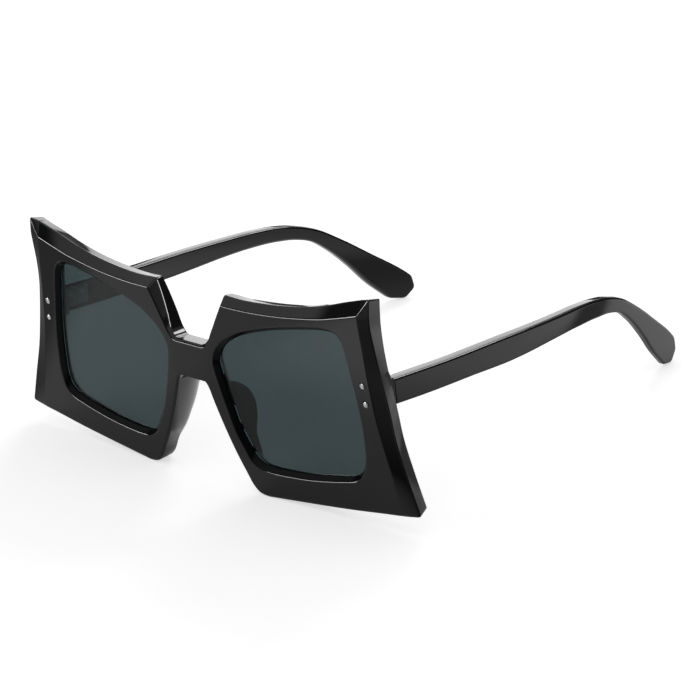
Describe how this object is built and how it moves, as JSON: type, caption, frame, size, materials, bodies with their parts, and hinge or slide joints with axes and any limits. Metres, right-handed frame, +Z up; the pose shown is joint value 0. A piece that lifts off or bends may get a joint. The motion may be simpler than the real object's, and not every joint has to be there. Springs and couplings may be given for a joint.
{
  "type": "oversized sunglasses",
  "caption": "Oversized sunglasses with a thick bevelled bat-wing front, tinted lenses, riveted hinges and folding temples.",
  "frame": {"origin": "centre of the bounding box at its base, where the feet of the rims and the tips of the temples stand", "axes": "+X towards the wearer's left, +Y from the front towards the temple tips, +Z up"},
  "size_m": [0.1568, 0.15, 0.0665],
  "materials": {
    "black_acetate": "polished black acetate",
    "tinted_lens": "smooth grey tint",
    "polished_steel": "polished",
    "hinge_steel": "satin nickel",
    "core_steel": "drawn wire"
  },
  "bodies": {
    "frame": {"front_frame": "black_acetate", "nose_pad_left": "black_acetate", "nose_pad_right": "black_acetate", "lens_left": "tinted_lens", "lens_right": "tinted_lens", "front_hinge_left": "hinge_steel", "front_hinge_right": "hinge_steel", "rivet_upper_left": "polished_steel", "rivet_upper_right": "polished_steel", "rivet_lower_left": "polished_steel", "rivet_lower_right": "polished_steel", "hinge_screw_left": "hinge_steel", "hinge_screw_right": "hinge_steel"},
    "left_temple": {"temple_hinge_left": "hinge_steel", "leaf_screw_front_left": "polished_steel", "leaf_screw_rear_left": "polished_steel", "temple_left": "black_acetate", "temple_core_left": "core_steel"},
    "right_temple": {"temple_hinge_right": "hinge_steel", "leaf_screw_front_right": "polished_steel", "leaf_screw_rear_right": "polished_steel", "temple_right": "black_acetate", "temple_core_right": "core_steel"}
  },
  "joints": [
    {"name": "fold_left", "type": "hinge", "parent": "frame", "child": "left_temple", "pos_m": [0.06332, -0.06433, 0.03894], "axis": [0, -0.0419, 0.9991], "range_deg": [0, 85]},
    {"name": "fold_right", "type": "hinge", "parent": "frame", "child": "right_temple", "pos_m": [-0.06332, -0.06433, 0.03894], "axis": [0, 0.0419, -0.9991], "range_deg": [0, 75]}
  ]
}
